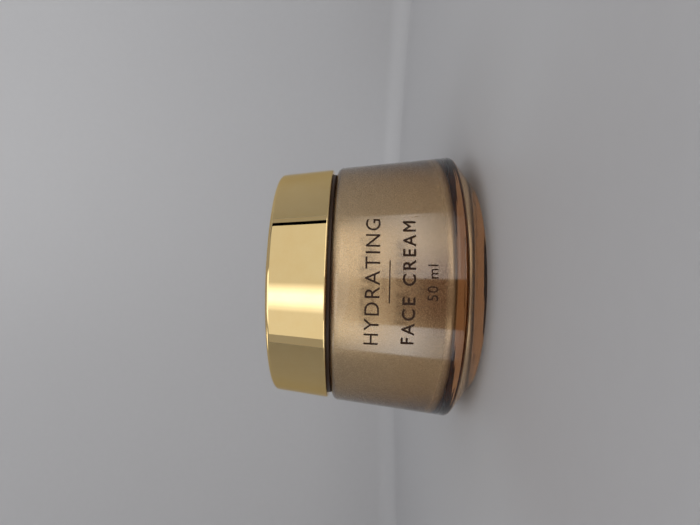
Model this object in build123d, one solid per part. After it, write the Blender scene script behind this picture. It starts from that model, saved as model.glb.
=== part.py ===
from build123d import *
import os

# A screw-cap cream jar in millimetres: +Z up, origin at the centre of the foot.

# Clear outer jar
FOOT_R = 27.2
CORNER_R = 33.75
CORNER_Z = 5.4
SHOULDER_R = 30.35
SHOULDER_Z = 33.6
FOOT_ROUNDING = 0.4
CORNER_ROUNDING = 1.0
SHOULDER_ROUNDING = 1.6
FOOT_RING_WIDTH = 3.4
FOOT_RECESS = 0.8

# Inner cup, which stands in the bore of the outer jar
CUP_BOTTOM_Z = 6.0
CUP_BOTTOM_R = 24.3
CUP_TOP_R = 24.9
CUP_EDGE_ROUNDING = 1.2
CUP_WALL = 1.5
CUP_FLOOR = 1.5
CUP_FLOOR_ROUNDING = 5.0
CUP_FIT = 0.08
COLLAR_R = 26.2
COLLAR_Z = 33.1
RIM_Z = 44.8
RIM_ROUNDING = 0.4

# Two-start, right-hand thread, with ridges whose flanks widen towards the wall
THREAD_STARTS = 2
THREAD_LEAD = 6.0
FLANK_SLOPE = 0.5
BURIED = 0.3
NECK_CREST_R = 25.9
NECK_CREST_WIDTH = 0.8
NECK_RIDGE_Z = 36.9
NECK_RIDGE_TURN = 0.85
INSERT_CREST_R = 25.15
INSERT_CREST_WIDTH = 0.7
INSERT_RIDGE_START = 40.0
INSERT_RIDGE_TURN = 0.4
AXIAL_PLAY = 0.12
RUN_OUT_LEAN = 8.0

# Cap: gold shell with a threaded insert pressed into it
CAP_BOTTOM_Z = 34.7
CAP_BOTTOM_R = 30.0
CAP_TOP_Z = 48.0
CAP_TOP_R = 28.25
CAP_TOP_ROUNDING = 1.0
CAP_LIP_ROUNDING = 0.4
SHELL_WALL = 1.1
PRESS_GAP = 0.05
INSERT_BOTTOM_Z = 33.9
INSERT_FOOT_TOP_Z = 36.0
INSERT_TOP_PLATE = 1.1
INSERT_BORE_R = 26.2
INSERT_SKIRT_R = 27.2
RIB_COUNT = 36
RIB_WIDTH = 0.9

# Sealing wad, caught in an undercut above the insert's bore
WAD_R = 26.5
WAD_THICKNESS = 1.0
UNDERCUT_R = 26.7
UNDERCUT_DROP = 0.5

# Contents
CREAM_Z = 38.3
CREAM_DISH_R = 18.0
CREAM_DISH_DEPTH = 0.8
CREAM_GAP = 0.03

SHELL_CEILING_Z = CAP_TOP_Z - SHELL_WALL
INSERT_CEILING_Z = SHELL_CEILING_Z - INSERT_TOP_PLATE
CUP_FLOOR_Z = CUP_BOTTOM_Z + CUP_FLOOR


def between(low, high, share):
    """Value at a given share of the way from low to high."""
    return low + (high - low) * share


def cup_inner_r(z):
    """Inside radius of the drafted cup wall at height z."""
    share = (z - CUP_FLOOR_Z) / (RIM_Z - CUP_FLOOR_Z)
    return between(CUP_BOTTOM_R, CUP_TOP_R, share) - CUP_WALL


def shell_inner_r(z):
    """Inside radius of the tapered cap shell at height z."""
    share = (z - CAP_BOTTOM_Z) / (CAP_TOP_Z - CAP_BOTTOM_Z)
    return between(CAP_BOTTOM_R, CAP_TOP_R, share) - SHELL_WALL


def turned(corners):
    """Solid of revolution about Z of a closed half-section, with corners of (radius, height, rounding)."""
    section = make_face(Polyline(*[(r, z) for r, z, rounding in corners], close=True))
    for r, z, rounding in corners:
        if rounding:
            corner = section.vertices().sort_by_distance((r, z, 0))[0]
            section = fillet(corner, rounding)
    return revolve(Plane.XZ * section, Axis.Z, 360)


def helical_ridge(wall_r, crest_r, crest_width, z, start, turn):
    """One thread ridge that climbs by the lead, with its root buried in the wall that carries it."""
    outward = 1 if crest_r > wall_r else -1
    buried_r = wall_r - outward * BURIED
    root_width = crest_width + 2 * FLANK_SLOPE * abs(crest_r - buried_r)
    outline = Polyline(
        (buried_r, -root_width / 2),
        (crest_r, -crest_width / 2),
        (crest_r, crest_width / 2),
        (buried_r, root_width / 2),
        close=True,
    )
    path = Helix(pitch=THREAD_LEAD, height=THREAD_LEAD * turn, radius=wall_r)
    ridge = sweep(Plane.XZ * make_face(outline), path, is_frenet=True)
    return Pos(0, 0, z) * Rot(0, 0, start) * ridge


def run_out(wall_r, outward, z, angle, lean):
    """Block whose upright face leans off the wall's tangent and cuts a ridge's end down to the wall."""
    depth = 12.0
    length = 26.0
    height = 0.8 * THREAD_LEAD
    block = Pos(outward * depth / 2, 0, 0) * Box(depth, length, height)
    return Pos(0, 0, z) * Rot(0, 0, angle) * Pos(wall_r, 0, 0) * Rot(0, 0, lean) * block


def thread_ridges(wall_r, crest_r, crest_width, z, start, turn):
    """Every start of a thread, with each ridge's two ends tapered into the wall."""
    outward = 1 if crest_r > wall_r else -1
    ridges = []
    for number in range(THREAD_STARTS):
        angle = start + 360 * number / THREAD_STARTS
        ridge = helical_ridge(wall_r, crest_r, crest_width, z, angle, turn)
        ridge -= run_out(wall_r, outward, z, angle, RUN_OUT_LEAN)
        ridge -= run_out(wall_r, outward, z + THREAD_LEAD * turn, angle + 360 * turn, -RUN_OUT_LEAN)
        ridges.append(ridge)
    return ridges


def outer_jar():
    """Thick clear jar: tapered wall, chamfered base on a foot ring, and a drafted blind bore with a seat."""
    recess_r = FOOT_R - FOOT_RING_WIDTH
    bore_floor = CUP_BOTTOM_Z - CUP_FIT
    return turned(
        [
            (0, FOOT_RECESS, 0),
            (recess_r - FOOT_RECESS, FOOT_RECESS, 0.5),
            (recess_r, 0, 0.3),
            (FOOT_R, 0, FOOT_ROUNDING),
            (CORNER_R, CORNER_Z, CORNER_ROUNDING),
            (SHOULDER_R, SHOULDER_Z, SHOULDER_ROUNDING),
            (COLLAR_R + CUP_FIT, SHOULDER_Z, 0.2),
            (COLLAR_R + CUP_FIT, COLLAR_Z, 0.1),
            (CUP_TOP_R + CUP_FIT, COLLAR_Z, 0.1),
            (CUP_BOTTOM_R + CUP_FIT, bore_floor, CUP_EDGE_ROUNDING),
            (0, bore_floor, 0),
        ]
    )


def inner_cup():
    """Cup with a drafted wall, a collar that sits in the jar's mouth, and a threaded neck."""
    cup = turned(
        [
            (0, CUP_BOTTOM_Z, 0),
            (CUP_BOTTOM_R, CUP_BOTTOM_Z, CUP_EDGE_ROUNDING),
            (CUP_TOP_R, COLLAR_Z, 0),
            (COLLAR_R, COLLAR_Z, 0.15),
            (COLLAR_R, SHOULDER_Z, 0.2),
            (CUP_TOP_R, SHOULDER_Z, 0.3),
            (CUP_TOP_R, RIM_Z, RIM_ROUNDING),
            (cup_inner_r(RIM_Z), RIM_Z, RIM_ROUNDING),
            (cup_inner_r(CUP_FLOOR_Z), CUP_FLOOR_Z, CUP_FLOOR_ROUNDING),
            (0, CUP_FLOOR_Z, 0),
        ]
    )
    for ridge in thread_ridges(CUP_TOP_R, NECK_CREST_R, NECK_CREST_WIDTH, NECK_RIDGE_Z, 0, NECK_RIDGE_TURN):
        cup += ridge
    return cup


def cap_shell():
    """Gold overcap: a tapered wall and a flat top, open below."""
    return turned(
        [
            (0, SHELL_CEILING_Z, 0),
            (shell_inner_r(SHELL_CEILING_Z), SHELL_CEILING_Z, 0.3),
            (shell_inner_r(CAP_BOTTOM_Z), CAP_BOTTOM_Z, 0.2),
            (CAP_BOTTOM_R, CAP_BOTTOM_Z, CAP_LIP_ROUNDING),
            (CAP_TOP_R, CAP_TOP_Z, CAP_TOP_ROUNDING),
            (0, CAP_TOP_Z, 0),
        ]
    )


def insert_ribs():
    """Upright ribs that fill the taper between the insert's skirt and the shell."""
    root_r = INSERT_SKIRT_R - BURIED
    bottom_z = INSERT_FOOT_TOP_Z - BURIED
    taper = turned(
        [
            (root_r, bottom_z, 0),
            (shell_inner_r(INSERT_FOOT_TOP_Z) - PRESS_GAP, bottom_z, 0),
            (shell_inner_r(INSERT_CEILING_Z) - PRESS_GAP, INSERT_CEILING_Z, 0),
            (root_r, INSERT_CEILING_Z, 0),
        ]
    )
    height = INSERT_CEILING_Z - bottom_z
    blade = Pos(INSERT_SKIRT_R, 0, bottom_z + height / 2) * Box(4, RIB_WIDTH, height)
    return [taper & (Rot(0, 0, 360 * number / RIB_COUNT) * blade) for number in range(RIB_COUNT)]


def insert_ridge_z():
    """Height of the insert's ridges where they start: bearing on the underside of the neck's ridges."""
    drop = (NECK_CREST_WIDTH + INSERT_CREST_WIDTH) / 2 + FLANK_SLOPE * (NECK_CREST_R - INSERT_CREST_R)
    return NECK_RIDGE_Z + THREAD_LEAD * INSERT_RIDGE_START / 360 - drop - AXIAL_PLAY


def cap_insert():
    """Threaded liner: top plate, ribbed skirt, foot ring that shows below the shell, and the wad's undercut."""
    undercut_z = INSERT_CEILING_Z - WAD_THICKNESS - UNDERCUT_DROP
    foot_r = shell_inner_r(INSERT_FOOT_TOP_Z) - PRESS_GAP
    insert = turned(
        [
            (0, SHELL_CEILING_Z, 0),
            (INSERT_SKIRT_R, SHELL_CEILING_Z, 0.5),
            (INSERT_SKIRT_R, INSERT_FOOT_TOP_Z, 0),
            (foot_r, INSERT_FOOT_TOP_Z, 0),
            (foot_r, INSERT_BOTTOM_Z, 0.2),
            (INSERT_BORE_R, INSERT_BOTTOM_Z, 0.2),
            (INSERT_BORE_R, undercut_z, 0),
            (UNDERCUT_R, undercut_z, 0),
            (UNDERCUT_R, INSERT_CEILING_Z, 0),
            (0, INSERT_CEILING_Z, 0),
        ]
    )
    for rib in insert_ribs():
        insert += rib
    for ridge in thread_ridges(
        INSERT_BORE_R,
        INSERT_CREST_R,
        INSERT_CREST_WIDTH,
        insert_ridge_z(),
        INSERT_RIDGE_START,
        INSERT_RIDGE_TURN,
    ):
        insert += ridge
    return insert


def sealing_wad():
    """Foam disc that seals on the cup's rim."""
    return turned(
        [
            (0, RIM_Z, 0),
            (WAD_R, RIM_Z, 0.15),
            (WAD_R, RIM_Z + WAD_THICKNESS, 0.15),
            (0, RIM_Z + WAD_THICKNESS, 0),
        ]
    )


def cream():
    """Contents of the cup, with a shallow dish in the top."""
    return turned(
        [
            (0, CUP_FLOOR_Z + CREAM_GAP, 0),
            (cup_inner_r(CUP_FLOOR_Z) - CREAM_GAP, CUP_FLOOR_Z + CREAM_GAP, CUP_FLOOR_ROUNDING),
            (cup_inner_r(CREAM_Z) - CREAM_GAP, CREAM_Z, 0),
            (CREAM_DISH_R, CREAM_Z, 3.0),
            (CREAM_DISH_R / 2, CREAM_Z - CREAM_DISH_DEPTH, 3.0),
            (0, CREAM_Z - CREAM_DISH_DEPTH, 0),
        ]
    )


os.makedirs("parts", exist_ok=True)
for build in (outer_jar, inner_cup, cap_shell, cap_insert, sealing_wad, cream):
    export_step(build(), f"parts/{build.__name__}.step")
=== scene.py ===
from math import ceil, copysign, cos, exp, pi, radians, sin, tan

import bmesh
import bpy
from mathutils import Matrix, Vector


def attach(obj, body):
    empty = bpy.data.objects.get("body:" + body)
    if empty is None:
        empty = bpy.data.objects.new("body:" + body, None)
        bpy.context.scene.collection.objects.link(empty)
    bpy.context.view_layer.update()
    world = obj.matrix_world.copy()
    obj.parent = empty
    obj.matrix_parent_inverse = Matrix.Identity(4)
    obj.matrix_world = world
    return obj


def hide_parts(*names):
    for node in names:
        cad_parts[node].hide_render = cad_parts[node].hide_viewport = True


# A screw-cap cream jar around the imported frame: +Z up, and the printed front faces -Y. The frame is in
# metres, and the sizes below are in millimetres.

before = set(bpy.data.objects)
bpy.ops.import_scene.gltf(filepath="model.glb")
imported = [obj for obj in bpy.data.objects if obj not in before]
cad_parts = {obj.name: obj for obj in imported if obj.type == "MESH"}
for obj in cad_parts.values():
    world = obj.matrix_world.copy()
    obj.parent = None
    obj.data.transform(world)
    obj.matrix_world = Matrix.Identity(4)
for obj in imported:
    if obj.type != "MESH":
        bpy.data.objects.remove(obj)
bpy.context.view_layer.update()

MM = 0.001

# Clear outer jar
FOOT_R = 27.2
CORNER_R = 33.75
CORNER_Z = 5.4
SHOULDER_R = 30.35
SHOULDER_Z = 33.6
FOOT_ROUNDING = 0.4
CORNER_ROUNDING = 1.0
SHOULDER_ROUNDING = 1.6
FOOT_RING_WIDTH = 3.4
FOOT_RING_INNER_ROUNDING = 0.3
FOOT_RECESS = 0.8
FOOT_RECESS_ROUNDING = 0.5

# Bore of the outer jar, and the pearl lacquer sprayed on it
BORE_BOTTOM_Z = 5.92
BORE_BOTTOM_R = 24.38
BORE_TOP_R = 24.98
BORE_EDGE_ROUNDING = 1.2
SEAT_Z = 33.1
SEAT_R = 26.28
SEAT_ROUNDING = 0.1
MOUTH_ROUNDING = 0.2
LACQUER_HALF = 0.03
LACQUER_STOP = 0.05

# Gold cap shell
CAP_BOTTOM_Z = 34.7
CAP_BOTTOM_R = 30.0
CAP_TOP_Z = 48.0
CAP_TOP_R = 28.25
CAP_TOP_ROUNDING = 1.0
CAP_LIP_ROUNDING = 0.4
SHELL_WALL = 1.1
SHELL_CEILING_ROUNDING = 0.3
SHELL_LIP_INNER_ROUNDING = 0.2

# Ring that the cup's rim has pressed into the sealing wad
RIM_MARK_R = 24.15
RIM_MARK_HALF = 0.55
RIM_MARK_END = 1.0
RIM_MARK_DEPTH = 0.15

# Heights over which the finish changes near the base: the glass's streaks fade out, and the lacquer's lower
# edge turns to painted shade
STREAKS_FROM_Z = 6.5
STREAKS_TO_Z = 10.5
PAINTED_SHADE_EDGE_Z = (6.4, 7.6)
LACQUER_EDGE_METAL_Z = (6.5, 9.0)

# Cream in the cup
CREAM_FLOOR_Z = 7.53
CREAM_FLOOR_R = 22.77
CREAM_TOP_Z = 38.3
CREAM_TOP_R = 23.2
CREAM_FLOOR_ROUNDING = 5.0
SWIRL_PITCH = 7.5
SWIRL_DEPTH = 1.1
SWIRL_SHARPNESS = 1.4
SWIRL_START_R = 4.0
SWIRL_DISH = 0.7
BOWL_DEPTH = 1.3
PEAK_HEIGHT = 1.3
PEAK_R = 3.0
SURFACE_RINGS = 70

# Print on the front
UPPER_Z = 25.0
RULE_Z = 21.4
MAIN_Z = 17.4
VOLUME_Z = 12.6
INK_PROUD = 0.03
INK_BURIED = 0.02
INK_CUT = 0.8

# How finely turned pieces are divided
ROUND_STEPS = 256
ARC_STEP = radians(9)
RUN_STEP = 4.0
SAME_PLACE = 1e-6

# Camera: a phone held on its side in front of the jar, so the picture's up is the jar's right
CAMERA_PLACE = Vector((-2.0, -136.6, 28.8))
CAMERA_YAW = -0.055
CAMERA_PITCH = 0.009
CAMERA_ROLL = 0.025
CAMERA_LENS = 25.97
SENSOR_WIDTH = 36.0

# Studio
SURROUNDINGS = (0.34, 0.34, 0.35, 1)
FLOOR_HALF = 1200.0
CARD_DISTANCE = 700.0
WINDOW_DISTANCE = 690.0
CARD_MIDDLE_Z = 25.0
WALL_R = 223.0
WALL_TOP_Z = 300.0
WALL_END_AZIMUTH = 62.0
WALL_STEPS = 96
COVE_R = 12.0
COVE_STEPS = 12


# ---------------------------------------------------------------- materials


def new_material(name):
    """Empty node material with its Principled shader."""
    material = bpy.data.materials.new(name)
    material.use_nodes = True
    return material, material.node_tree.nodes["Principled BSDF"]


def add(material, kind, values=None, links=None, **settings):
    """New shader node with its settings, its inputs' values, and the sockets linked into it."""
    made = material.node_tree.nodes.new(kind)
    for key, value in settings.items():
        setattr(made, key, value)
    for key, value in (values or {}).items():
        made.inputs[key].default_value = value
    for key, socket in (links or {}).items():
        material.node_tree.links.new(socket, made.inputs[key])
    return made


def place_of(material):
    """Place on the piece, in metres, which moves with the piece."""
    return add(material, "ShaderNodeTexCoord").outputs["Object"]


def noise_of(material, place, size, detail=3.0, rough=0.5):
    """Cloudy noise with features of a given size in mm."""
    values = {"Scale": 1 / (size * MM), "Detail": detail, "Roughness": rough}
    return add(material, "ShaderNodeTexNoise", values, {"Vector": place}).outputs["Fac"]


def between(material, share, low, high, share_low=0.0, share_high=1.0):
    """Number that goes from low to high as share does from share_low to share_high."""
    values = {"From Min": share_low, "From Max": share_high, "To Min": low, "To Max": high}
    return add(material, "ShaderNodeMapRange", values, {"Value": share}).outputs["Result"]


def blend_colours(material, share, first, second):
    """Colour that goes from the first to the second, each a colour or a socket, as share goes from 0 to 1."""
    mix = add(material, "ShaderNodeMix", None, {"Factor": share}, data_type="RGBA")
    places = [socket for socket in mix.inputs if socket.type == "RGBA"]
    for place, colour in zip(places, (first, second)):
        if isinstance(colour, bpy.types.NodeSocket):
            material.node_tree.links.new(colour, place)
        else:
            place.default_value = (*colour, 1)
    return [socket for socket in mix.outputs if socket.type == "RGBA"][0]


def bump_of(material, height, depth, before=None):
    """Bump whose height runs over a given depth in mm, on top of an earlier bump."""
    links = {"Height": height}
    if before:
        links["Normal"] = before
    return add(material, "ShaderNodeBump", {"Strength": 1.0, "Distance": depth * MM}, links).outputs["Normal"]


def drive(material, shader, **sockets):
    """Links sockets into the Principled shader, by the names of its inputs with _ for a space."""
    for key, socket in sockets.items():
        material.node_tree.links.new(socket, shader.inputs[key.replace("_", " ")])


def height_of(material, place):
    """Height on the piece, in metres."""
    return add(material, "ShaderNodeSeparateXYZ", None, {"Vector": place}).outputs["Z"]


def clear_glass():
    """Polished clear glass with an amber tint that deepens in the base, smudges, and streaks low down."""
    material, shader = new_material("clear_glass")
    shader.inputs["Base Color"].default_value = (1.0, 1.0, 1.0, 1)
    shader.inputs["IOR"].default_value = 1.5
    shader.inputs["Transmission Weight"].default_value = 1.0
    place = place_of(material)
    smudges = noise_of(material, place, 9, detail=5, rough=0.65)
    drawn_out = add(material, "ShaderNodeMapping", {"Scale": (0.02, 0.02, 1.0)}, {"Vector": place})
    streaks = noise_of(material, drawn_out.outputs["Vector"], 1.1, detail=2)
    height = height_of(material, place)
    near_base = between(material, height, 1.0, 0.0, STREAKS_FROM_Z * MM, STREAKS_TO_Z * MM)
    relief = add(material, "ShaderNodeMath", None, {0: streaks, 1: near_base}, operation="MULTIPLY")
    drive(material, shader,
          Roughness=between(material, smudges, 0.0, 0.03, 0.45, 0.8),
          Normal=bump_of(material, relief.outputs[0], 0.03))
    absorb = add(material, "ShaderNodeVolumeAbsorption", {"Color": (0.82, 0.60, 0.33, 1), "Density": 60.0})
    output = material.node_tree.nodes["Material Output"]
    material.node_tree.links.new(absorb.outputs["Volume"], output.inputs["Volume"])
    return material


def pearl(name, dark, light, roughness, metallic):
    """Pearl finish: fine mica flakes in a sprayed coat that is a little uneven."""
    material, shader = new_material(name)
    place = place_of(material)
    cloud = noise_of(material, place, 14, detail=4)
    flakes = add(material, "ShaderNodeTexVoronoi", {"Scale": 1 / (0.09 * MM)}, {"Vector": place})
    flake = add(material, "ShaderNodeSeparateColor", None, {"Color": flakes.outputs["Color"]}).outputs["Red"]
    mixed = add(material, "ShaderNodeMath", {1: 0.15}, {0: flake, 2: cloud}, operation="MULTIPLY_ADD")
    share = between(material, mixed.outputs[0], 0.0, 1.0, 0.3, 0.95)
    shader.inputs["Metallic"].default_value = metallic
    drive(material, shader,
          Base_Color=blend_colours(material, share, dark, light),
          Roughness=between(material, flake, roughness - 0.03, roughness + 0.03),
          Normal=bump_of(material, flake, 0.0003))
    return material


def mirror_gold():
    """Vacuum-metallised gold: a mirror with faint waves, hairline scratches and wiping marks."""
    material, shader = new_material("mirror_gold")
    shader.inputs["Metallic"].default_value = 1.0
    shader.inputs["Specular Tint"].default_value = (0.92, 0.80, 0.55, 1)
    place = place_of(material)
    waves = noise_of(material, place, 16, detail=1)
    peel = noise_of(material, place, 1.2, detail=2)
    wiped = noise_of(material, place, 6, detail=6, rough=0.7)
    stretched = add(material, "ShaderNodeMapping", {"Scale": (1.0, 1.0, 40.0)}, {"Vector": place})
    hairs = noise_of(material, stretched.outputs["Vector"], 7, detail=2)
    tint = between(material, wiped, 0.0, 1.0, 0.3, 0.7)
    dulled = between(material, wiped, 0.0, 0.03, 0.5, 0.8)
    rough = add(material, "ShaderNodeMath", {1: 0.035}, {0: hairs, 2: dulled}, operation="MULTIPLY_ADD")
    drive(material, shader,
          Base_Color=blend_colours(material, tint, (0.90, 0.66, 0.31), (0.92, 0.70, 0.35)),
          Roughness=rough.outputs[0],
          Normal=bump_of(material, peel, 0.0006, bump_of(material, waves, 0.02)))
    return material


def shade_dark_liner():
    """Polypropylene coloured dark brown as painted shade for the gap under the cap, with a soft moulded sheen
    and faint flow marks.
    """
    material, shader = new_material("shade_dark_liner")
    shader.inputs["Specular IOR Level"].default_value = 0.3
    place = place_of(material)
    flow = noise_of(material, place, 10, detail=3)
    grain = noise_of(material, place, 0.5, detail=2)
    # The near-black brown is painted shade for the shadowed gap between the cap and the jar's shoulder.
    drive(material, shader,
          Base_Color=blend_colours(material, flow, (0.035, 0.016, 0.006), (0.055, 0.027, 0.012)),
          Roughness=between(material, grain, 0.38, 0.52),
          Normal=bump_of(material, grain, 0.01))
    return material


def closed_foam():
    """White closed-cell foam with fine cells and the ring that the rim has pressed into it."""
    material, shader = new_material("closed_foam")
    place = place_of(material)
    foam = add(material, "ShaderNodeTexVoronoi", {"Scale": 1 / (0.45 * MM)}, {"Vector": place})
    cells = foam.outputs["Distance"]
    flat = add(material, "ShaderNodeVectorMath", {1: (1, 1, 0)}, {0: place}, operation="MULTIPLY")
    radius = add(material, "ShaderNodeVectorMath", None, {0: flat.outputs["Vector"]}, operation="LENGTH")
    offset = add(material, "ShaderNodeMath", {1: RIM_MARK_R * MM}, {0: radius.outputs["Value"]},
                 operation="SUBTRACT")
    distance = add(material, "ShaderNodeMath", None, {0: offset.outputs[0]}, operation="ABSOLUTE")
    unpressed = between(material, distance.outputs[0], 0.0, 1.0, RIM_MARK_HALF * MM, RIM_MARK_END * MM)
    drive(material, shader,
          Base_Color=blend_colours(material, cells, (0.86, 0.85, 0.82), (0.93, 0.93, 0.91)),
          Roughness=between(material, cells, 0.55, 0.8),
          Normal=bump_of(material, cells, 0.03, bump_of(material, unpressed, RIM_MARK_DEPTH)))
    return material


def face_cream():
    """Rich off-white cream with a moist gloss."""
    material, shader = new_material("face_cream")
    shader.inputs["Subsurface Weight"].default_value = 0.4
    shader.inputs["Subsurface Scale"].default_value = 2.0 * MM
    shader.inputs["Subsurface Radius"].default_value = (1.0, 0.7, 0.5)
    place = place_of(material)
    cloud = noise_of(material, place, 8, detail=3)
    whipped = noise_of(material, place, 1.5, detail=4)
    drive(material, shader,
          Base_Color=blend_colours(material, cloud, (0.90, 0.83, 0.74), (0.95, 0.90, 0.83)),
          Roughness=between(material, whipped, 0.22, 0.38),
          Normal=bump_of(material, whipped, 0.05))
    return material


def print_ink():
    """Dark brown screen ink with the faint grain of the screen."""
    material, shader = new_material("print_ink")
    shader.inputs["Specular IOR Level"].default_value = 0.15
    place = place_of(material)
    grain = noise_of(material, place, 0.25, detail=2)
    drive(material, shader,
          Base_Color=blend_colours(material, grain, (0.022, 0.010, 0.006), (0.045, 0.022, 0.013)),
          Roughness=between(material, grain, 0.5, 0.7),
          Normal=bump_of(material, grain, 0.004))
    return material


def pale_stage():
    """Plain pale painted board."""
    material, shader = new_material("pale_stage")
    place = place_of(material)
    grain = noise_of(material, place, 3, detail=4)
    drive(material, shader,
          Base_Color=blend_colours(material, grain, (0.60, 0.60, 0.61), (0.62, 0.62, 0.63)),
          Roughness=between(material, grain, 0.42, 0.5))
    return material


def dress(node_name, material):
    """Gives a CAD node its material."""
    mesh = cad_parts[node_name].data
    mesh.materials.clear()
    mesh.materials.append(material)


# ---------------------------------------------------------------- turned pieces


def right_of(way):
    """Unit normal on the right of a direction in the half-section, which is the outside of a turned piece."""
    return Vector((way.y, -way.x)).normalized()


def outline(corners):
    """Pieces of a half-section through corners of (radius, height, rounding), each an end and two normals.

    The section goes round the solid anticlockwise. Every piece starts where the one before it ended.
    """
    points = [Vector(corner[:2]) for corner in corners]
    pieces = []
    place = points[0]
    for index in range(1, len(points)):
        way = (points[index] - points[index - 1]).normalized()
        normal = right_of(way)
        rounding = corners[index][2]
        turn = 0.0
        if rounding:
            turn = -way.angle_signed((points[index + 1] - points[index]).normalized())
        run_end = points[index] - way * rounding * tan(abs(turn) / 2)
        length = (run_end - place).length
        steps = max(1, ceil(length / RUN_STEP))
        for step in range(steps):
            pieces.append((place.lerp(run_end, (step + 1) / steps), normal, normal))
        place = run_end
        if rounding:
            side = copysign(rounding, turn)
            centre = run_end - normal * side
            steps = ceil(abs(turn) / ARC_STEP)
            for step in range(steps):
                before = Matrix.Rotation(turn * step / steps, 2) @ normal
                after = Matrix.Rotation(turn * (step + 1) / steps, 2) @ normal
                place = centre + after * side
                pieces.append((place, before, after))
    return points[0], pieces


def new_piece(name, points, faces, material, normals=None):
    """Smooth mesh piece in metres from points in mm, with a normal for each face corner if they are given."""
    mesh = bpy.data.meshes.new(name)
    mesh.from_pydata([Vector(point) * MM for point in points], [], faces)
    mesh.polygons.foreach_set("use_smooth", [True] * len(faces))
    if normals:
        mesh.normals_split_custom_set(normals)
    mesh.materials.append(material)
    mesh.update()
    piece = bpy.data.objects.new(name, mesh)
    bpy.context.collection.objects.link(piece)
    return piece


def around(step, radial, height):
    """Point or direction at a step of the turn, from its radial and upright parts."""
    angle = 2 * pi * step / ROUND_STEPS
    return (radial * cos(angle), radial * sin(angle), height)


def add_ring(points, place):
    """Adds a ring of points, or one point on the axis, and returns the index of each step's point."""
    first = len(points)
    if place[0] < SAME_PLACE:
        points.append((0, 0, place[1]))
        return [first] * (ROUND_STEPS + 1)
    points.extend(around(step, *place) for step in range(ROUND_STEPS))
    return [first + step % ROUND_STEPS for step in range(ROUND_STEPS + 1)]


def turned(name, corners, material):
    """Turned solid with the exact normals of its cones, flats and roundings."""
    start, pieces = outline(corners)
    points = []
    faces = []
    normals = []
    first_ring = ring = add_ring(points, start)
    for place, before, after in pieces:
        closes = (place - start).length < SAME_PLACE
        above = first_ring if closes else add_ring(points, place)
        for step in range(ROUND_STEPS):
            # On the axis two corners are one point, and the face is a triangle.
            corner_normals = {
                ring[step]: around(step, *before),
                ring[step + 1]: around(step + 1, *before),
                above[step + 1]: around(step + 1, *after),
                above[step]: around(step, *after),
            }
            faces.append(list(corner_normals))
            normals.extend(corner_normals.values())
        ring = above
    return new_piece(name, points, faces, material, normals)


def glass_jar():
    """Clear jar: tapered wall, chamfered base on a foot ring, and the blind bore with the cup's seat."""
    recess_r = FOOT_R - FOOT_RING_WIDTH
    corners = [
        (0, FOOT_RECESS, 0),
        (recess_r - FOOT_RECESS, FOOT_RECESS, FOOT_RECESS_ROUNDING),
        (recess_r, 0, FOOT_RING_INNER_ROUNDING),
        (FOOT_R, 0, FOOT_ROUNDING),
        (CORNER_R, CORNER_Z, CORNER_ROUNDING),
        (SHOULDER_R, SHOULDER_Z, SHOULDER_ROUNDING),
        (SEAT_R, SHOULDER_Z, MOUTH_ROUNDING),
        (SEAT_R, SEAT_Z, SEAT_ROUNDING),
        (BORE_TOP_R, SEAT_Z, SEAT_ROUNDING),
        (BORE_BOTTOM_R, BORE_BOTTOM_Z, BORE_EDGE_ROUNDING),
        (0, BORE_BOTTOM_Z, 0),
    ]
    jar = turned("clear_jar", corners, clear_glass())
    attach(jar, "jar")
    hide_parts("outer_jar")


def bore_lacquer():
    """Pearl coat on the bore's wall, which touches the glass all over and so shows through it.

    Its lower edge is darker, which is painted shade, and less metallic.
    """
    top_z = SHOULDER_Z - MOUTH_ROUNDING - LACQUER_STOP
    half = LACQUER_HALF
    start_r = BORE_BOTTOM_R - BORE_EDGE_ROUNDING
    corners = [
        (start_r, BORE_BOTTOM_Z - half, 0),
        (BORE_BOTTOM_R + half, BORE_BOTTOM_Z - half, BORE_EDGE_ROUNDING + half),
        (BORE_TOP_R + half, SEAT_Z - half, SEAT_ROUNDING - half),
        (SEAT_R + half, SEAT_Z - half, SEAT_ROUNDING + half),
        (SEAT_R + half, top_z, 0),
        (SEAT_R - half, top_z, 0),
        (SEAT_R - half, SEAT_Z + half, SEAT_ROUNDING - half),
        (BORE_TOP_R - half, SEAT_Z + half, SEAT_ROUNDING + half),
        (BORE_BOTTOM_R - half, BORE_BOTTOM_Z + half, BORE_EDGE_ROUNDING - half),
        (start_r, BORE_BOTTOM_Z + half, 0),
        (start_r, BORE_BOTTOM_Z - half, 0),
    ]
    coat = pearl("pearl_lacquer", (0.77, 0.65, 0.45), (0.85, 0.73, 0.52), 0.25, 0.92)
    shader = coat.node_tree.nodes["Principled BSDF"]
    height = height_of(coat, place_of(coat))
    above_painted_shade = between(coat, height, 0.0, 1.0, *(z * MM for z in PAINTED_SHADE_EDGE_Z))
    colour = shader.inputs["Base Color"].links[0].from_socket
    # The dark brown at the coat's lower edge is painted shade, not a colour of the coat.
    drive(coat, shader,
          Base_Color=blend_colours(coat, above_painted_shade, (0.34, 0.23, 0.13), colour),
          Metallic=between(coat, height, 0.25, 0.92, *(z * MM for z in LACQUER_EDGE_METAL_Z)))
    lacquer = turned("bore_lacquer", corners, coat)
    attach(lacquer, "jar")


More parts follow.
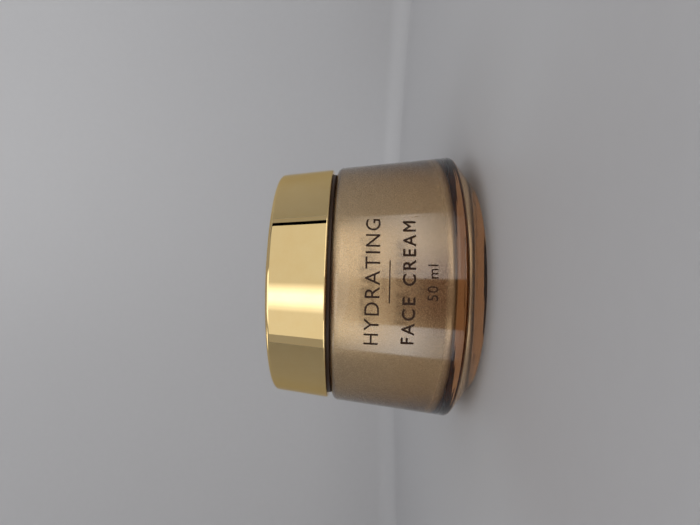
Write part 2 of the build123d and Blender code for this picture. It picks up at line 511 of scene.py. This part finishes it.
def gold_shell():
    """Gold overcap: tapered wall and flat top, open below."""
    taper = (CAP_BOTTOM_R - CAP_TOP_R) / (CAP_TOP_Z - CAP_BOTTOM_Z)
    ceiling_z = CAP_TOP_Z - SHELL_WALL
    corners = [
        (0, ceiling_z, 0),
        (CAP_TOP_R - SHELL_WALL * (1 - taper), ceiling_z, SHELL_CEILING_ROUNDING),
        (CAP_BOTTOM_R - SHELL_WALL, CAP_BOTTOM_Z, SHELL_LIP_INNER_ROUNDING),
        (CAP_BOTTOM_R, CAP_BOTTOM_Z, CAP_LIP_ROUNDING),
        (CAP_TOP_R, CAP_TOP_Z, CAP_TOP_ROUNDING),
        (0, CAP_TOP_Z, 0),
    ]
    shell = turned("gold_shell", corners, mirror_gold())
    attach(shell, "cap")
    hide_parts("cap_shell")


# ---------------------------------------------------------------- cream and print


def cream_height(radius, angle):
    """Height of the cream's top: a spiral left by the filling nozzle, which ends in a soft peak.

    It is level where it meets the cup's wall.
    """
    out = radius / CREAM_TOP_R
    spiral = (0.5 - 0.5 * cos(angle + 2 * pi * radius / SWIRL_PITCH)) ** SWIRL_SHARPNESS
    groove = SWIRL_DISH * (1 - out ** 2) + SWIRL_DEPTH * spiral
    groove *= 1 - exp(-((radius / SWIRL_START_R) ** 2))
    peak = PEAK_HEIGHT * exp(-((radius / PEAK_R) ** 2))
    return CREAM_TOP_Z - BOWL_DEPTH * (1 - out ** 2) + (peak - groove) * (1 - out ** 6)


def swirled_cream():
    """Cream that fills the cup, with a swirled top."""
    corners = [
        (0, CREAM_FLOOR_Z, 0),
        (CREAM_FLOOR_R, CREAM_FLOOR_Z, CREAM_FLOOR_ROUNDING),
        (CREAM_TOP_R, CREAM_TOP_Z, 0),
    ]
    start, pieces = outline(corners)
    points = []
    rings = [add_ring(points, place) for place in [start] + [piece[0] for piece in pieces]]
    for inward in range(1, SURFACE_RINGS + 1):
        radius = CREAM_TOP_R * (1 - inward / SURFACE_RINGS)
        first = len(points)
        rings.append(add_ring(points, (radius, 0)))
        for index in range(first, len(points)):
            points[index] = (*points[index][:2], cream_height(radius, 2 * pi * (index - first) / ROUND_STEPS))
    faces = []
    for ring, above in zip(rings, rings[1:]):
        for step in range(ROUND_STEPS):
            # On the axis two corners are one point, and the face is a triangle.
            faces.append(list(dict.fromkeys((ring[step], ring[step + 1], above[step + 1], above[step]))))
    cream = new_piece("swirled_cream", points, faces, face_cream())
    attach(cream, "jar")
    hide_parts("cream")


def glass_radius(z):
    """Radius of the clear jar's tapered wall at height z."""
    share = (z - CORNER_Z) / (SHOULDER_Z - CORNER_Z)
    return CORNER_R + (SHOULDER_R - CORNER_R) * share


def widen(slab, extra):
    """Moves the outline of a flat slab outwards by extra mm, along the mitre at its corners."""
    slab.normal_update()
    moves = []
    for vertex in slab.verts:
        walls = [face.normal for face in vertex.link_faces if abs(face.normal.z) < 0.5]
        sides = {normal.to_tuple(2): normal for normal in walls}
        total = sum(sides.values(), Vector())
        mitre = len(sides) / max(total.length_squared, 1.0)
        moves.append(total * extra * mitre)
    for vertex, move in zip(slab.verts, moves):
        vertex.co += move


def lettering(words, height, spacing, weight):
    """Flat letters in mm, centred on the middle of their capitals, as a bmesh slab one unit thick.

    Their outlines stand weight mm outside the type's own.
    """
    curve = bpy.data.curves.new(words, "FONT")
    curve.body = words
    curve.align_x = "CENTER"
    curve.space_character = spacing
    curve.extrude = 0.5
    curve.resolution_u = 6
    thing = bpy.data.objects.new(words, curve)
    bpy.context.collection.objects.link(thing)
    bpy.context.view_layer.update()
    mesh = bpy.data.meshes.new_from_object(thing)
    bpy.data.objects.remove(thing)
    slab = bmesh.new()
    slab.from_mesh(mesh)
    bmesh.ops.remove_doubles(slab, verts=slab.verts, dist=1e-5)
    tall = max(vertex.co.y for vertex in slab.verts)
    for vertex in slab.verts:
        vertex.co.x *= height / tall
        vertex.co.y = (vertex.co.y / tall - 0.5) * height
    widen(slab, weight)
    return slab


def rule(width, height):
    """Thin printed line in mm, as a bmesh slab one unit thick."""
    slab = bmesh.new()
    bmesh.ops.create_cube(slab, size=1.0, matrix=Matrix.Diagonal((width, height, 1.0, 1.0)))
    return slab


def wrapped(name, slab, z, material):
    """Ink on the jar's tapered wall: a flat slab cut into strips and laid round the front."""
    half = max(abs(vertex.co.x) for vertex in slab.verts)
    for number in range(-int(half / INK_CUT), int(half / INK_CUT) + 1):
        everything = slab.verts[:] + slab.edges[:] + slab.faces[:]
        bmesh.ops.bisect_plane(slab, geom=everything, plane_co=(number * INK_CUT, 0, 0), plane_no=(1, 0, 0))
    for vertex in slab.verts:
        across, up, thick = vertex.co
        height = z + up
        radius = glass_radius(height)
        angle = across / radius
        outward = radius + (INK_PROUD if thick > 0 else -INK_BURIED)
        vertex.co = Vector((outward * sin(angle), -outward * cos(angle), height)) * MM
    bmesh.ops.recalc_face_normals(slab, faces=slab.faces)
    mesh = bpy.data.meshes.new(name)
    slab.to_mesh(mesh)
    slab.free()
    mesh.materials.append(material)
    ink = bpy.data.objects.new(name, mesh)
    bpy.context.collection.objects.link(ink)
    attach(ink, "jar")


def front_print():
    """Generic wording on the front."""
    ink = print_ink()
    wrapped("print_upper_word", lettering("HYDRATING", height=3.1, spacing=1.15, weight=0.0), UPPER_Z, ink)
    wrapped("print_rule", rule(width=9.0, height=0.25), RULE_Z, ink)
    wrapped("print_main_words", lettering("FACE CREAM", height=2.6, spacing=1.3, weight=0.06), MAIN_Z, ink)
    wrapped("print_volume", lettering("50 ml", height=2.1, spacing=1.15, weight=0.02), VOLUME_Z, ink)


# ---------------------------------------------------------------- studio


def make_camera():
    """Camera close in front of the jar, lying on its side."""
    level = Vector((-sin(CAMERA_YAW), cos(CAMERA_YAW), 0))
    forward = cos(CAMERA_PITCH) * level + sin(CAMERA_PITCH) * Vector((0, 0, 1))
    right = forward.cross(Vector((0, 0, 1))).normalized()
    up = right.cross(forward)
    turned_right = cos(CAMERA_ROLL) * right + sin(CAMERA_ROLL) * up
    turned_up = cos(CAMERA_ROLL) * up - sin(CAMERA_ROLL) * right
    data = bpy.data.cameras.new("camera")
    data.sensor_width = SENSOR_WIDTH
    data.lens = CAMERA_LENS
    data.clip_start = 1 * MM
    camera = bpy.data.objects.new("camera", data)
    bpy.context.collection.objects.link(camera)
    axes = Matrix((-turned_up, turned_right, -forward)).transposed()
    camera.matrix_world = Matrix.Translation(CAMERA_PLACE * MM) @ axes.to_4x4()
    bpy.context.scene.camera = camera


def upright(low, high, distance=CARD_DISTANCE):
    """Lower and upper edge, as (radius, height), of an upright card between two elevations in degrees."""
    return [(distance, CARD_MIDDLE_Z + distance * tan(radians(elevation))) for elevation in (low, high)]


def card(name, azimuths, edges, radiance, colour=(1, 1, 1), fades=(0.001, 0.001, 0.001), lights_floor=True):
    """Curved sheet round the jar that gives off light, between two edges of (radius, height).

    Azimuth 0 is in front and 90 at the right. The fades are the shares of its size over which the sheet goes
    clear at each side, at its first edge and at its second edge.
    """
    steps = max(2, ceil((azimuths[1] - azimuths[0]) / 4))
    points = []
    for radius, height in edges:
        for step in range(steps + 1):
            angle = radians(azimuths[0] + (azimuths[1] - azimuths[0]) * step / steps)
            points.append((radius * sin(angle), -radius * cos(angle), height))
    faces = [(step + 1, step, steps + 1 + step, steps + 2 + step) for step in range(steps)]
    material = bpy.data.materials.new(name)
    material.use_nodes = True
    material.node_tree.nodes.remove(material.node_tree.nodes["Principled BSDF"])
    place = add(material, "ShaderNodeTexCoord").outputs["UV"]
    part = add(material, "ShaderNodeSeparateXYZ", None, {"Vector": place}).outputs
    rise = between(material, part["X"], 0.0, 1.0, 0.0, fades[0])
    fall = between(material, part["X"], 1.0, 0.0, 1 - fades[0], 1.0)
    start = between(material, part["Y"], 0.0, 1.0, 0.0, fades[1])
    end = between(material, part["Y"], 1.0, 0.0, 1 - fades[2], 1.0)
    sides = add(material, "ShaderNodeMath", None, {0: rise, 1: fall}, operation="MULTIPLY").outputs[0]
    ends = add(material, "ShaderNodeMath", None, {0: start, 1: end}, operation="MULTIPLY").outputs[0]
    solid = add(material, "ShaderNodeMath", None, {0: sides, 1: ends}, operation="MULTIPLY").outputs[0]
    glow = add(material, "ShaderNodeEmission", {"Color": (*colour, 1), "Strength": radiance})
    clear = add(material, "ShaderNodeBsdfTransparent")
    sources = {0: solid, 1: clear.outputs["BSDF"], 2: glow.outputs["Emission"]}
    mixed = add(material, "ShaderNodeMixShader", None, sources).outputs["Shader"]
    material.node_tree.links.new(mixed, material.node_tree.nodes["Material Output"].inputs["Surface"])
    sheet = new_piece(name, points, faces, material)
    shares = sheet.data.uv_layers.new(name="share").data
    for loop, share in zip(sheet.data.loops, shares):
        share.uv = (loop.vertex_index % (steps + 1) / steps, loop.vertex_index // (steps + 1))
    sheet.visible_camera = False
    sheet.visible_shadow = False
    sheet.visible_diffuse = lights_floor


def make_stage():
    """Pale floor with a plain wall that curves round behind the jar, open in front, in grey surroundings."""
    world = bpy.data.worlds.new("studio")
    bpy.context.scene.world = world
    world.use_nodes = True
    world.node_tree.nodes["Background"].inputs["Color"].default_value = SURROUNDINGS
    paint = pale_stage()
    floor_points = [(x * FLOOR_HALF, y * FLOOR_HALF, 0) for x, y in ((-1, -1), (1, -1), (1, 1), (-1, 1))]
    new_piece("stage_floor", floor_points, [(0, 1, 2, 3)], paint)
    section = []
    for step in range(COVE_STEPS + 1):
        angle = pi / 2 * step / COVE_STEPS
        section.append((WALL_R - COVE_R + COVE_R * sin(angle), COVE_R - COVE_R * cos(angle)))
    section.append((WALL_R, WALL_TOP_Z))
    points = []
    for step in range(WALL_STEPS + 1):
        angle = radians(WALL_END_AZIMUTH + (360 - 2 * WALL_END_AZIMUTH) * step / WALL_STEPS)
        points.extend((radius * sin(angle), -radius * cos(angle), z) for radius, z in section)
    rows = len(section)
    faces = []
    for step in range(WALL_STEPS):
        for row in range(rows - 1):
            first = step * rows + row
            faces.append((first, first + 1, first + rows + 1, first + rows))
    new_piece("stage_wall", points, faces, paint)


def light_studio():
    """Cards of light and of shade round the jar, and two sheets that lie on the floor."""
    card("front_low_left", (-64, -35), upright(-2, 14), 3.8, colour=(0.90, 0.95, 1.0), fades=(0.08, 0.4, 0.5))
    card("front_low_right", (3, 62), upright(-2, 14), 3.5, colour=(1.0, 0.97, 0.94), fades=(0.04, 0.4, 0.6))
    card("front_high_left", (-56, -27), upright(14, 27), 0.80)
    card("front_high_right", (-27, 57), upright(14, 27), 0.70)
    card("window", (-31, -2), upright(15.5, 27, WINDOW_DISTANCE), 2.2, colour=(0.9, 0.93, 1.0),
         fades=(0.4, 0.001, 0.05))
    card("key", (-52, 14), upright(27, 60), 1.6, fades=(0.1, 0.001, 0.001))
    card("left_fill", (-115, -75), upright(30, 60), 1.8)
    card("camera_flag", (-36, 4), upright(-2, 14), 0.14, colour=(1.0, 0.62, 0.50))
    card("edge_flag", (56.2, 60.4), upright(-10, 50), 0.0)
    card("shelf_glow", (-80, 70), [(95.0, 1.0), (300.0, 1.0)], 0.95, colour=(1.0, 0.97, 0.93),
         fades=(0.2, 0.08, 0.1), lights_floor=False)
    card("shelf_shade", (-50, 34), [(34.0, 0.9), (105.0, 0.9)], 0.10, colour=(1.0, 0.5, 0.35),
         fades=(0.3, 0.02, 0.2), lights_floor=False)


glass_jar()
bore_lacquer()
gold_shell()
swirled_cream()
front_print()
dress("inner_cup", pearl("pearl_plastic", (0.56, 0.42, 0.28), (0.66, 0.52, 0.37), 0.38, 0.35))
dress("cap_insert", shade_dark_liner())
dress("sealing_wad", closed_foam())
make_camera()
make_stage()
light_studio()
bpy.context.scene.view_settings.view_transform = "Standard"
